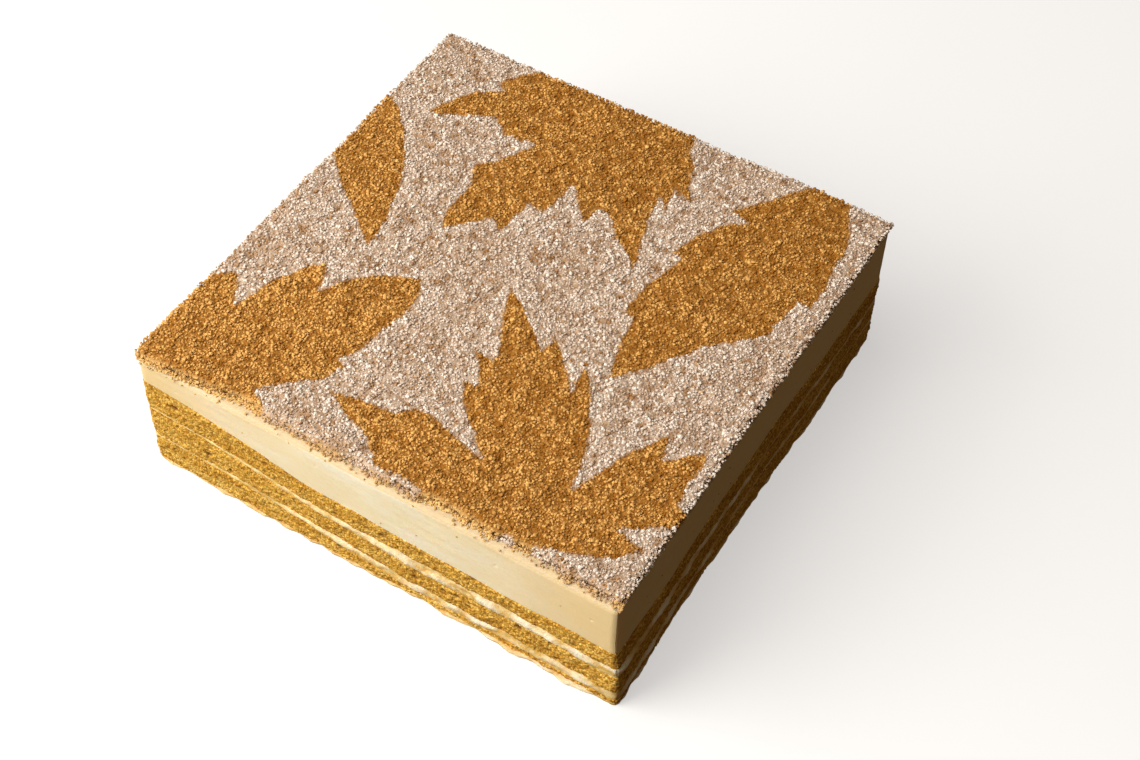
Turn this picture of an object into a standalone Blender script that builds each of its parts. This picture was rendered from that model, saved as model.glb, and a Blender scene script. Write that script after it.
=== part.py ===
"""A square layer cake: three sponges with cream between them, a thick slab of set cream and a bed of crumbs.

The cake stands on z = 0 with its middle over the origin. Its sides lie along X and Y, in metres.
Each layer is a solid of its own that runs through the whole cake, with a narrow gap to its neighbours.
"""

import math
import random

import bmesh
import bpy
from mathutils import Vector, noise

MM = 0.001

# The whole cake
SIDE = 200 * MM
MEAN_HEIGHT = 62.7 * MM
RISE_X = 0.0055  # how fast the top climbs towards +X
RISE_Y = 0.0195  # how fast the top climbs towards +Y
GAP = 0.3 * MM  # the clearance between two layers
HALF = SIDE / 2

# Two places where the layers are uneven, and how far each reaches
SWOLLEN_CORNER = (-HALF, -HALF)
SWOLLEN_REACH = 84 * MM
SUNKEN_SPOT = (0.32 * SIDE, -HALF)
SUNKEN_CORE = 30 * MM
SUNKEN_REACH = 120 * MM

# Thickness of each layer: in general, more at the swollen corner, more at the sunken spot
LAYERS = {
    "base_cream": (1.0 * MM, -0.2 * MM, 0.0 * MM),
    "sponge_bottom": (10.3 * MM, 2.8 * MM, -7.5 * MM),
    "filling_lower": (2.2 * MM, -1.4 * MM, 2.2 * MM),
    "sponge_middle": (9.3 * MM, 5.7 * MM, 0.7 * MM),
    "filling_upper": (2.6 * MM, -1.9 * MM, 2.6 * MM),
    "sponge_top": (10.4 * MM, 4.3 * MM, -1.5 * MM),
}
CRUMB_DEPTH = 3.6 * MM

# The mesh of a layer
SHEET_CELLS = 8  # cells along a side, inside the layer
RIM_CUTS = 3  # further points on each cell's edge at the rim
WALL_INSET = 0.08  # how near the wall's outer rows are to the layer's two faces

# Unevenness of the cut sides
KNIFE_WAVE = 0.5 * MM
KNIFE_LENGTH = 60 * MM
SPONGE_PROUD = 0.5 * MM
SPONGE_CRAG = 0.7 * MM
SPONGE_CRAG_LENGTH = 7 * MM
CREAM_BULGE = 0.6 * MM
CREAM_BULGE_LENGTH = 18 * MM
SLUMP = 1.6 * MM  # how far the sponges lean out at the sunken corner
SLUMP_CORNER = (HALF, -HALF)
SLUMP_REACH = 60 * MM

# The bed of crumbs
CRUMB_CELLS = 44
CRUMB_CELL = SIDE / CRUMB_CELLS
CRUMB_WALL_ROWS = 2
CRUMB_BUMP = 0.8 * MM
CRUMB_DRIFT = 0.4 * MM
CRUMB_DRIFT_LENGTH = 22 * MM
CRUMB_JITTER = 0.22  # share of a cell that a point strays sideways
CRUMB_RAGGED = 0.8 * MM
CRUMB_SEED = 11

SPONGE_COLOUR = (0.42, 0.21, 0.055)
CREAM_COLOUR = (0.84, 0.70, 0.42)
FILLING_COLOUR = (0.80, 0.62, 0.36)
CRUMB_COLOUR = (0.45, 0.21, 0.05)


def smooth_fall(distance, core, reach):
    """1 within the core, falling smoothly to 0 at the reach."""
    share = min(max((distance - core) / (reach - core), 0.0), 1.0)
    return 1 - share * share * (3 - 2 * share)


def nearness(x, y, spot, core, reach):
    """How near a point is to a spot, from 0 to 1."""
    return smooth_fall(math.hypot(x - spot[0], y - spot[1]), core, reach)


def wave(x, y, z, length, key):
    """Smooth noise between about -1 and 1, with features of the given length. Each key gives another pattern."""
    return 1.6 * noise.noise(Vector((x / length + 7.3 * key, y / length - 3.1 * key, z / length + 5.7 * key)))


def thickness(name, x, y):
    """How thick a layer is above the point (x, y)."""
    general, swollen, sunken = LAYERS[name]
    more = swollen * nearness(x, y, SWOLLEN_CORNER, 0.0, SWOLLEN_REACH)
    more += sunken * nearness(x, y, SUNKEN_SPOT, SUNKEN_CORE, SUNKEN_REACH)
    return general + more


def floor_of(name, x, y):
    """The height of a layer's underside above the point (x, y)."""
    below = list(LAYERS)[: list(LAYERS).index(name)] if name in LAYERS else list(LAYERS)
    return sum(thickness(layer, x, y) for layer in below)


def crumb_floor(x, y):
    """The flat, slightly tilted face that the crumbs lie on."""
    return MEAN_HEIGHT - CRUMB_DEPTH + RISE_X * x + RISE_Y * y


def outward(x, y):
    """The direction that faces away from the cake at a point of its rim, or zero inside it."""
    edge = HALF - 1e-6
    return Vector((math.copysign(abs(x) > edge, x), math.copysign(abs(y) > edge, y), 0.0))


def knife_wave(x, y):
    """How far the cut side strays from straight. Every layer shares it, and it is nil at the corners."""
    along = x if abs(y) > abs(x) else y
    towards_corner = math.cos(math.pi * along / SIDE)
    return KNIFE_WAVE * wave(x, y, 0.0, KNIFE_LENGTH, 1) * towards_corner


def sheet(cells, rim_cuts):
    """A square sheet of triangles: coarse inside, with more points along its rim."""
    mesh = bmesh.new()
    bmesh.ops.create_grid(mesh, x_segments=cells, y_segments=cells, size=HALF)
    if rim_cuts:
        rim = [edge for edge in mesh.edges if edge.is_boundary]
        bmesh.ops.subdivide_edges(mesh, edges=rim, cuts=rim_cuts)
    bmesh.ops.triangulate(mesh, faces=mesh.faces[:])
    return mesh


def raise_walls(mesh, wall_cuts):
    """Turns the sheet into a slab one unit tall, and cuts its walls into rows."""
    raised = bmesh.ops.extrude_face_region(mesh, geom=mesh.faces[:])["geom"]
    top = [part for part in raised if isinstance(part, bmesh.types.BMVert)]
    bmesh.ops.translate(mesh, verts=top, vec=(0, 0, 1))
    upright = [edge for edge in mesh.edges if abs(edge.verts[0].co.z - edge.verts[1].co.z) > 0.5]
    bmesh.ops.subdivide_edges(mesh, edges=upright, cuts=wall_cuts)
    bmesh.ops.recalc_face_normals(mesh, faces=mesh.faces[:])


def row_height(share):
    """Moves the wall's first and last rows close to the layer's faces."""
    if share < 0.01 or share > 0.99:
        return share
    return min(max((share - 0.5) * 4, -1.0), 1.0) * (0.5 - WALL_INSET) + 0.5


def sponge_relief(key):
    """The crags of a torn sponge edge, which stands a little proud."""

    def push(x, y, z):
        crag = SPONGE_CRAG * wave(x, y, z, SPONGE_CRAG_LENGTH, key)
        slump = SLUMP * nearness(x, y, SLUMP_CORNER, 0.0, SLUMP_REACH) * (abs(x) >= HALF - 1e-6)
        return SPONGE_PROUD + crag + slump

    return push


def cream_relief(key, bulge):
    """The soft bulges of cream that was squeezed to the side."""

    def push(x, y, z):
        return bulge * wave(x, y, z, CREAM_BULGE_LENGTH, key)

    return push


def link(name, mesh, colour, roughness, collection):
    """Makes the object of a finished mesh, with a material of its own."""
    data = bpy.data.meshes.new(name)
    mesh.to_mesh(data)
    mesh.free()
    cake_object = bpy.data.objects.new(name, data)
    material = bpy.data.materials.new(name)
    material.use_nodes = True
    shader = material.node_tree.nodes["Principled BSDF"]
    shader.inputs["Base Color"].default_value = (*colour, 1.0)
    shader.inputs["Roughness"].default_value = roughness
    shader.inputs["Metallic"].default_value = 0.0
    data.materials.append(material)
    collection.objects.link(cake_object)
    return cake_object


def build_layer(name, floor, ceiling, relief, wall_cuts, colour, roughness, collection):
    """One layer between two height functions, with relief on the inner rows of its walls."""
    mesh = sheet(SHEET_CELLS, RIM_CUTS)
    raise_walls(mesh, wall_cuts)
    for vertex in mesh.verts:
        x, y, share = vertex.co
        row = row_height(share)
        low, high = floor(x, y), ceiling(x, y)
        z = low + (high - low) * row
        away = outward(x, y)
        push = knife_wave(x, y)
        if 0.01 < share < 0.99:
            push += relief(x, y, z)
        vertex.co = Vector((x, y, z)) + away * push
    return link(name, mesh, colour, roughness, collection)


def chance(x, y, key):
    """A draw from -1 to 1 for a point of the crumb bed, which doesn't depend on the order of the points."""
    column = round((x + HALF) / CRUMB_CELL)
    row = round((y + HALF) / CRUMB_CELL)
    return random.Random(f"{CRUMB_SEED} {key} {column} {row}").uniform(-1, 1)


def crumb_slab():
    """A closed slab one unit tall: a fine sheet on top, two rows of wall and one face underneath."""
    mesh = sheet(CRUMB_CELLS, 0)
    bmesh.ops.translate(mesh, verts=mesh.verts[:], vec=(0, 0, 1))
    rim = [edge for edge in mesh.edges if edge.is_boundary]
    for _ in range(CRUMB_WALL_ROWS):
        pulled = bmesh.ops.extrude_edge_only(mesh, edges=rim)["geom"]
        rim = [part for part in pulled if isinstance(part, bmesh.types.BMEdge) and part.is_boundary]
        lower = [part for part in pulled if isinstance(part, bmesh.types.BMVert)]
        bmesh.ops.translate(mesh, verts=lower, vec=(0, 0, -1 / CRUMB_WALL_ROWS))
    bmesh.ops.holes_fill(mesh, edges=rim, sides=0)
    bmesh.ops.recalc_face_normals(mesh, faces=mesh.faces[:])
    return mesh


def build_crumbs(collection):
    """The bed of crumbs: a slab with a flat underside, a bumpy top and a ragged rim."""
    mesh = crumb_slab()
    for vertex in mesh.verts:
        x, y, share = vertex.co
        away = outward(x, y)
        push = knife_wave(x, y)
        stray = Vector((0.0, 0.0, 0.0))
        z = crumb_floor(x, y) + GAP + (CRUMB_DEPTH - GAP) * share
        if share > 0.01:
            push += CRUMB_RAGGED * (0.3 + 0.7 * chance(x, y, "rim"))
        if share > 0.99:
            z += CRUMB_BUMP * chance(x, y, "bump") + CRUMB_DRIFT * wave(x, y, 0.0, CRUMB_DRIFT_LENGTH, 4)
        if share > 0.99 and away.length == 0:
            stray = Vector((chance(x, y, "across"), chance(x, y, "along"), 0.0)) * CRUMB_JITTER * CRUMB_CELL
        vertex.co = Vector((x, y, z)) + away * push + stray
    bmesh.ops.triangulate(mesh, faces=mesh.faces[:])
    return link("crumb_topping", mesh, CRUMB_COLOUR, 0.9, collection)


def clear_scene():
    """Removes the objects that the scene starts with."""
    for leftover in list(bpy.data.objects):
        bpy.data.objects.remove(leftover)


def build_cake():
    """Builds every layer from the bottom up."""
    clear_scene()
    collection = bpy.data.collections.new("layer_cake")
    bpy.context.scene.collection.children.link(collection)
    for key, name in enumerate(LAYERS, start=10):
        above = GAP / 2 if name != "base_cream" else 0.0

        def floor(x, y, name=name, above=above):
            return floor_of(name, x, y) + above

        def ceiling(x, y, name=name):
            return floor_of(name, x, y) + thickness(name, x, y) - GAP / 2

        if name.startswith("sponge"):
            build_layer(name, floor, ceiling, sponge_relief(key), 3, SPONGE_COLOUR, 0.9, collection)
        else:
            relief = cream_relief(key, CREAM_BULGE)
            build_layer(name, floor, ceiling, relief, 1, FILLING_COLOUR, 0.5, collection)

    def slab_floor(x, y):
        return floor_of("cream_slab", x, y) + GAP / 2

    relief = cream_relief(3, CREAM_BULGE / 3)
    build_layer("cream_slab", slab_floor, crumb_floor, relief, 1, CREAM_COLOUR, 0.45, collection)
    build_crumbs(collection)


build_cake()
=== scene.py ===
"""A square layer cake with its looks: torn sponge, soft fillings, a slab of set cream and a bed of crumbs.

Lengths are metres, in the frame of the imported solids. The cake stands on z = 0 with its middle over the
origin. Its sides lie along X and Y, and its front side faces -Y. Each layer is a piece that runs through
the whole cake.
"""

import logging
import math
from collections.abc import Mapping, Sequence
from dataclasses import dataclass, field
from enum import Enum

import bmesh
import bpy
import numpy as np
from mathutils import Matrix, Vector, noise


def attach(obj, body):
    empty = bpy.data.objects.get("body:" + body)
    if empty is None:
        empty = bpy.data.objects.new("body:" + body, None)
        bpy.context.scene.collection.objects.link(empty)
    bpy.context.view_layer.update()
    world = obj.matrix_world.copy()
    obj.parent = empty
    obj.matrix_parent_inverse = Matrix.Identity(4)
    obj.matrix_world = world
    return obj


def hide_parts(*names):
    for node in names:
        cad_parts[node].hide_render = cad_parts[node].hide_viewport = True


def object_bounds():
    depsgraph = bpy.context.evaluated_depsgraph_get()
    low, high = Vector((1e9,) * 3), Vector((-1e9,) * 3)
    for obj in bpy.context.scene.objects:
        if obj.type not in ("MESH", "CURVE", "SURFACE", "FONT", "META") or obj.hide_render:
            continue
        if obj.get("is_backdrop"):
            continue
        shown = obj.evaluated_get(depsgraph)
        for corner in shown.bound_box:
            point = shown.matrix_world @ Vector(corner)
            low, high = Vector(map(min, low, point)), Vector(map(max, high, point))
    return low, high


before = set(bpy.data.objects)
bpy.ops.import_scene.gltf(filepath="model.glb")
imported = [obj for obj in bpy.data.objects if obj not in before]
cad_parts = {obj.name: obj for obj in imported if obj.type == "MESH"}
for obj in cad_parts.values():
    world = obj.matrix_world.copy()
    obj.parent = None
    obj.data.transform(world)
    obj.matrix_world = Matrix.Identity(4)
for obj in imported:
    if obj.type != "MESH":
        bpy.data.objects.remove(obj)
CAD_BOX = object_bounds()

MM = 0.001
BODY = "root"

Array = np.ndarray
Colour = tuple[float, float, float]
Triple = tuple[float, float, float]

EVEN: Triple = (1.0, 1.0, 1.0)
NOISE_GAIN = 1.6
NOISE_SHIFT = np.array((7.3, -3.1, 5.7))
PACKED_SHIFT = np.array((5.1, -2.3, 8.9))
PITS_SHIFT = np.array((2.7, 9.1, -4.3))
PITS_DRAW = 41.7
HAIR = 1e-6

log = logging.getLogger("cake")


def screen_colour(red: int, green: int, blue: int) -> Colour:
    """Turns a colour as a screen shows it into the linear one that a shader takes.

    Args:
        red: From 0 to 255.
        green: From 0 to 255.
        blue: From 0 to 255.

    Returns:
        The linear colour, each part from 0 to 1.
    """
    shares = [part / 255 for part in (red, green, blue)]
    return tuple(share / 12.92 if share < 0.04045 else ((share + 0.055) / 1.055) ** 2.4 for share in shares)


def smooth_step(value: Array, low: float, high: float) -> Array:
    """Rises smoothly from 0 to 1.

    Args:
        value: One number for each point.
        low: Up to this number the result is 0.
        high: From this number it is 1.

    Returns:
        One share for each point.
    """
    share = np.clip((value - low) / (high - low), 0.0, 1.0)
    return share * share * (3 - 2 * share)


def ripple(points: Array, length: float, key: float, stretch: Triple = EVEN) -> Array:
    """Smooth noise at each point, between about -1 and 1.

    Args:
        points: Places, one in each row.
        length: How long the features are.
        key: Each key gives another pattern.
        stretch: How many times longer the features are along X, Y and Z.

    Returns:
        One value for each point.
    """
    places = points / (length * np.array(stretch)) + NOISE_SHIFT * key
    return NOISE_GAIN * np.array([noise.noise(place) for place in places.tolist()])


class Shade:
    """An output of a shader node, which takes part in Python arithmetic."""

    def __init__(self, recipe: "Recipe", socket: bpy.types.NodeSocket) -> None:
        """Holds a socket and the recipe that it belongs to."""
        self.recipe = recipe
        self.socket = socket

    def worked(self, operation: str, *terms: "Shade | float") -> "Shade":
        """Adds a Math node.

        Args:
            operation: What the node does.
            terms: Its inputs, in order. This output alone if there are none.

        Returns:
            The result.
        """
        inputs = dict(zip(("Value", "Value_001", "Value_002"), terms or (self,)))
        return self.recipe.add("ShaderNodeMath", {"operation": operation}, inputs)

    def __add__(self, other: "Shade | float") -> "Shade":
        """The sum."""
        return self.worked("ADD", self, other)

    __radd__ = __add__

    def __sub__(self, other: "Shade | float") -> "Shade":
        """The difference."""
        return self.worked("SUBTRACT", self, other)

    def __rsub__(self, other: float) -> "Shade":
        """The difference, from a number."""
        return self.worked("SUBTRACT", other, self)

    def __mul__(self, other: "Shade | float") -> "Shade":
        """The product."""
        return self.worked("MULTIPLY", self, other)

    __rmul__ = __mul__

    def between(self, low: float, high: float) -> "Shade":
        """Rises smoothly from 0 to 1.

        Args:
            low: Up to this number the result is 0.
            high: From this number it is 1.

        Returns:
            The share.
        """
        settings = {"interpolation_type": "SMOOTHSTEP"}
        inputs = {"Value": self, "From Min": low, "From Max": high}
        return self.recipe.add("ShaderNodeMapRange", settings, inputs)


class Recipe:
    """Writes the nodes of one material."""

    def __init__(self, name: str) -> None:
        """Starts an empty material.

        Args:
            name: The material's name.
        """
        self.material = bpy.data.materials.new(name)
        self.material.use_nodes = True
        self.tree = self.material.node_tree
        self.tree.nodes.clear()
        self.place = self.add("ShaderNodeTexCoord", output="Object")

    def feed(self, socket: bpy.types.NodeSocket, value: "Shade | float | Sequence[float]") -> None:
        """Links a socket, or sets its value.

        Args:
            socket: The input of a node.
            value: The output to link to it, or its number, colour or vector.
        """
        if isinstance(value, Shade):
            self.tree.links.new(value.socket, socket)
        elif socket.type == "RGBA":
            socket.default_value = (*value, 1.0)
        else:
            socket.default_value = value

    def add(
        self,
        kind: str,
        settings: Mapping[str, object] | None = None,
        inputs: Mapping[str, object] | None = None,
        output: str = "",
    ) -> Shade:
        """Adds one node.

        Args:
            kind: The node's type.
            settings: Its own settings, which are set before its sockets.
            inputs: A value or a link for each socket, by name or identifier.
            output: Which output is wanted. Empty for the first.

        Returns:
            That output.
        """
        node = self.tree.nodes.new(kind)
        for name, value in (settings or {}).items():
            setattr(node, name, value)
        for name, value in (inputs or {}).items():
            socket = next(socket for socket in node.inputs if name in (socket.name, socket.identifier))
            self.feed(socket, value)
        wanted = next(socket for socket in node.outputs if output in ("", socket.name, socket.identifier))
        return Shade(self, wanted)

    def mottle(
        self, size: float, detail: float = 2.0, stretch: Triple = EVEN, key: float = 0.0
    ) -> Shade:
        """Noise about a half.

        Args:
            size: How long its features are.
            detail: How many finer layers it has.
            stretch: How many times longer the features are along X, Y and Z.
            key: Each key gives another pattern.

        Returns:
            The noise, from 0 to 1.
        """
        scale = tuple(1 / share for share in stretch)
        inputs = {"Vector": self.place, "Location": (key, key, key), "Scale": scale}
        place = self.add("ShaderNodeMapping", {}, inputs)
        inputs = {"Vector": place, "Scale": 1 / size, "Detail": detail, "Roughness": 0.6}
        return self.add("ShaderNodeTexNoise", {}, inputs, "Fac")

    def grit(self, size: float, output: str) -> Shade:
        """Crumbs packed side by side.

        Args:
            size: How far apart they lie.
            output: "Distance" for how far each point is from the middle of its crumb, or "Color" for the
                crumb's own draw.

        Returns:
            The distance or the draw, from 0 to 1.
        """
        return self.add("ShaderNodeTexVoronoi", {}, {"Vector": self.place, "Scale": 1 / size}, output)

    def attribute(self, name: str) -> Shade:
        """A value that the mesh holds for each of its points."""
        return self.add("ShaderNodeAttribute", {"attribute_name": name}, output="Fac")

    def mix(self, factor: Shade, first: Colour | Shade, second: Colour | Shade) -> Shade:
        """Goes from one colour to another.

        Args:
            factor: 0 for the first, 1 for the second.
            first: The first colour.
            second: The second colour.

        Returns:
            The colour.
        """
        inputs = {"Factor_Float": factor, "A_Color": first, "B_Color": second}
        return self.add("ShaderNodeMix", {"data_type": "RGBA"}, inputs, "Result_Color")

    def bump(self, height: Shade, depth: float, below: Shade | None = None) -> Shade:
        """Relief from a height.

        Args:
            height: From 0 to 1.
            depth: How high a height of 1 stands.
            below: The relief that it comes on top of.

        Returns:
            The normal.
        """
        inputs = {"Height": height, "Distance": depth, "Strength": 1.0}
        if below is not None:
            inputs["Normal"] = below
        return self.add("ShaderNodeBump", {}, inputs)

    def finished(self, **inputs: object) -> bpy.types.Material:
        """Ends the material with a Principled shader.

        Args:
            inputs: The shader's sockets, with underscores for spaces.

        Returns:
            The material.
        """
        named = {name.replace("_", " "): value for name, value in inputs.items()}
        shader = self.add("ShaderNodeBsdfPrincipled", {}, named)
        self.add_output(shader)
        return self.material

    def add_output(self, shader: Shade) -> None:
        """Sends a shader to the material's surface."""
        node = self.tree.nodes.new("ShaderNodeOutputMaterial")
        self.feed(node.inputs["Surface"], shader)


@dataclass(frozen=True)
class SpongeFinish:
    """Torn sponge: a fine golden crumb, darker in its pores and crevices, mostly by painted shade and
    partly by darker crumb.
    """

    name: str = "sponge"
    pale: Colour = screen_colour(247, 206, 112)
    golden: Colour = screen_colour(225, 172, 66)
    brown: Colour = screen_colour(182, 124, 36)
    # The colour of the pores: mostly painted shade in the pores and crevices, partly darker crumb.
    pore: Colour = screen_colour(112, 66, 18)
    crumb: float = 0.8 * MM
    patch: float = 12 * MM
    streak: float = 2.2 * MM
    relief: float = 0.3 * MM
    roughness: float = 0.9
    shine: float = 0.2

    def material(self) -> bpy.types.Material:
        """Writes the material.

        Returns:
            The material, which reads the piece's painted shade in pores and crevices, partly darker crumb.
        """
        recipe = Recipe(self.name)
        crumb = recipe.mottle(self.crumb, detail=3.0, stretch=(1.4, 1.4, 0.8))
        patch = recipe.mottle(self.patch, stretch=(2.0, 2.0, 0.6), key=3.0)
        streak = recipe.mottle(self.streak, detail=3.0, stretch=(7.0, 7.0, 0.7), key=9.0)
        grain = recipe.mottle(self.crumb / 3, key=5.0)
        own = recipe.grit(self.crumb, "Color")
        between = recipe.grit(self.crumb, "Distance")
        tone = own * 0.30 + crumb * 0.30 + patch * 0.12 + streak * 0.38 - (between - 0.45) * 0.22
        colour = recipe.mix(tone.between(0.42, 0.56), self.brown, self.golden)
        colour = recipe.mix(tone.between(0.55, 0.70), colour, self.pale)
        # Painted shade in the pores and crevices, partly darker crumb.
        colour = recipe.mix(recipe.attribute("pore_dark_and_shade"), colour, self.pore)
        relief = recipe.bump(1.0 - between, self.relief)
        relief = recipe.bump(grain, self.relief / 3, relief)
        return recipe.finished(
            Base_Color=colour, Roughness=self.roughness, Normal=relief, Specular_IOR_Level=self.shine
        )


@dataclass(frozen=True)
class FillingFinish:
    """Soft cream between two sponges, whiter where it bulges out and stained where it is thin."""

    name: str
    stained: Colour = screen_colour(232, 184, 98)
    cream: Colour = screen_colour(248, 216, 148)
    bulge: Colour = screen_colour(255, 239, 208)
    soak: float = 4 * MM
    relief: float = 0.25 * MM
    roughness: float = 0.5
    milkiness: float = 0.2
    milky_depth: float = 2 * MM

    def material(self) -> bpy.types.Material:
        """Writes the material.

        Returns:
            The material, which reads the piece's "bulge".
        """
        recipe = Recipe(self.name)
        soak = recipe.mottle(self.soak, detail=3.0, stretch=(1.0, 1.0, 0.6))
        fine = recipe.mottle(self.soak / 6, key=2.0)
        colour = recipe.mix(soak.between(0.40, 0.60), self.stained, self.cream)
        colour = recipe.mix(recipe.attribute("bulge") * (0.5 + soak), colour, self.bulge)
        relief = recipe.bump(fine, self.relief)
        return recipe.finished(
            Base_Color=colour, Roughness=self.roughness, Normal=relief, Subsurface_Weight=self.milkiness,
            Subsurface_Radius=(1.0, 0.6, 0.3), Subsurface_Scale=self.milky_depth,
        )


@dataclass(frozen=True)
class SlabFinish:
    """Set cream that was cut with a knife: smooth and pale, with faint drag marks and a few specks."""

    name: str = "set_cream"
    pale: Colour = screen_colour(252, 240, 212)
    yellow: Colour = screen_colour(249, 231, 190)
    deep: Colour = screen_colour(240, 208, 146)
    # Painted shade on the rounded upper edge, which faces the lamps and would otherwise show brighter than
    # the cut side.
    rim: Colour = screen_colour(212, 187, 145)
    speck: Colour = screen_colour(196, 160, 92)
    patch: float = 24 * MM
    drag: float = 1.6 * MM
    drag_relief: float = 0.07 * MM
    grain: float = 0.9 * MM
    grain_relief: float = 0.09 * MM
    fleck_size: float = 1.2 * MM
    speck_size: float = 2.6 * MM
    deepest: float = 0.85
    deep_from: float = 15 * MM
    deep_to: float = 105 * MM
    shine: float = 0.35
    milkiness: float = 0.25
    milky_depth: float = 3 * MM

    def material(self) -> bpy.types.Material:
        """Writes the material.

        Returns:
            The material, which is deeper towards the corners and reads the piece's "brow" to paint shade on
            the rounded upper edge.
        """
        recipe = Recipe(self.name)
        patch = recipe.mottle(self.patch, detail=3.0, stretch=(2.0, 2.0, 0.7))
        drag = recipe.mottle(self.drag, detail=3.0, stretch=(14.0, 14.0, 1.0), key=1.0)
        fine = recipe.mottle(self.grain, key=4.0)
        speck = recipe.mottle(self.speck_size, key=7.0).between(0.735, 0.80)
        colour = recipe.mix(patch.between(0.35, 0.65), self.yellow, self.pale)
        across = recipe.add("ShaderNodeSeparateXYZ", {}, {"Vector": recipe.place}, "X").worked("ABSOLUTE")
        colour = recipe.mix(across.between(self.deep_from, self.deep_to) * self.deepest, colour, self.deep)
        # Painted shade on the rounded upper edge.
        colour = recipe.mix(recipe.attribute("brow").between(0.0, 0.6), colour, self.rim)
        fleck = recipe.mottle(self.fleck_size, detail=3.0, stretch=(2.4, 2.4, 0.9), key=12.0)
        colour = recipe.mix(fleck.between(0.45, 0.72) * 0.3, colour, self.deep)
        colour = recipe.mix(speck, colour, self.speck)
        relief = recipe.bump(drag, self.drag_relief)
        relief = recipe.bump(fine, self.grain_relief, relief)
        return recipe.finished(
            Base_Color=colour, Roughness=0.42 + 0.2 * fine, Normal=relief,
            Subsurface_Weight=self.milkiness, Subsurface_Radius=(1.0, 0.7, 0.4),
            Subsurface_Scale=self.milky_depth, Specular_IOR_Level=self.shine,
        )


@dataclass(frozen=True)
class CrumbFinish:
    """Baked crumbs, soaked with cream at the rim and white with sugar where it was dusted."""

    name: str
    dark: Colour = screen_colour(158, 100, 28)
    light: Colour = screen_colour(234, 181, 102)
    soaked: Colour = screen_colour(230, 194, 128)
    veiled: Colour = screen_colour(174, 139, 104)
    sugar: Colour = screen_colour(246, 233, 218)
    mottle: float = 0.7 * MM
    relief: float = 0.12 * MM
    roughness: float = 0.92
    shine: float = 0.2

    def material(self) -> bpy.types.Material:
        """Writes the material.

        Returns:
            The material, which reads the piece's "tone" (the crumbs' own tone with painted light and shade
            in it), "soak" and "sugar".
        """
        recipe = Recipe(self.name)
        mottle = recipe.mottle(self.mottle, detail=3.0)
        powder = recipe.mottle(self.mottle * 1.8, detail=4.0, key=3.0)
        # The tone holds painted light and shade besides the crumbs' own tone.
        tone = recipe.attribute("tone") * 0.9 - 0.05 + (mottle - 0.5) * 0.7
        colour = recipe.mix(tone.between(0.0, 0.9), self.dark, self.light)
        colour = recipe.mix(recipe.attribute("soak"), colour, self.soaked)
        sugar = recipe.attribute("sugar")
        colour = recipe.mix(sugar.between(0.02, 0.40) * 0.92, colour, self.veiled)
        colour = recipe.mix(sugar.between(0.15, 0.90) * powder.between(0.30, 0.50), colour, self.sugar)
        relief = recipe.bump(mottle, self.relief)
        return recipe.finished(
            Base_Color=colour, Roughness=self.roughness, Normal=relief, Specular_IOR_Level=self.shine
        )


@dataclass(frozen=True)
class FloorFinish:
    """A plain pale floor."""

    name: str = "pale_floor"
    pale: Colour = screen_colour(190, 188, 186)
    dull: Colour = screen_colour(187, 185, 182)
    glow: Colour = screen_colour(250, 249, 248)
    glow_strength: float = 0.55
    patch: float = 300 * MM
    roughness: float = 0.85
    shine: float = 0.1

    def material(self) -> bpy.types.Material:
        """Writes the material.

        Returns:
            The material, which glows a little by itself.
        """
        recipe = Recipe(self.name)
        patch = recipe.mottle(self.patch, detail=3.0)
        colour = recipe.mix(patch.between(0.3, 0.7), self.dull, self.pale)
        return recipe.finished(
            Base_Color=colour, Roughness=self.roughness, Specular_IOR_Level=self.shine,
            Emission_Color=self.glow, Emission_Strength=self.glow_strength,
        )


class Side(Enum):
    """A side of the cake, by the direction that it faces."""

    FRONT = (0.0, -1.0)
    RIGHT = (1.0, 0.0)
    BACK = (0.0, 1.0)
    LEFT = (-1.0, 0.0)

    def inset(self, x: Array, y: Array, half: float) -> Array:
        """How far each point lies inside this side.

        Args:
            x: Places across.
            y: Places towards the back.
            half: How far the side lies from the middle.

        Returns:
            One distance for each point, below 0 outside.
        """
        return half - (x * self.value[0] + y * self.value[1])


@dataclass(frozen=True)
class Depth:
    """How thick a layer is: in general, and how much more at the swollen corner and the sunken spot."""

    general: float
    swollen: float
    sunken: float


LAYERS: dict[str, Depth] = {
    "base_cream": Depth(1.0 * MM, -0.2 * MM, 0.0 * MM),
    "sponge_bottom": Depth(10.3 * MM, 2.8 * MM, -7.5 * MM),
    "filling_lower": Depth(2.2 * MM, -1.4 * MM, 2.2 * MM),
    "sponge_middle": Depth(9.3 * MM, 5.7 * MM, 0.7 * MM),
    "filling_upper": Depth(2.6 * MM, -1.9 * MM, 2.6 * MM),
    "sponge_top": Depth(10.4 * MM, 4.3 * MM, -1.5 * MM),
}


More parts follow.
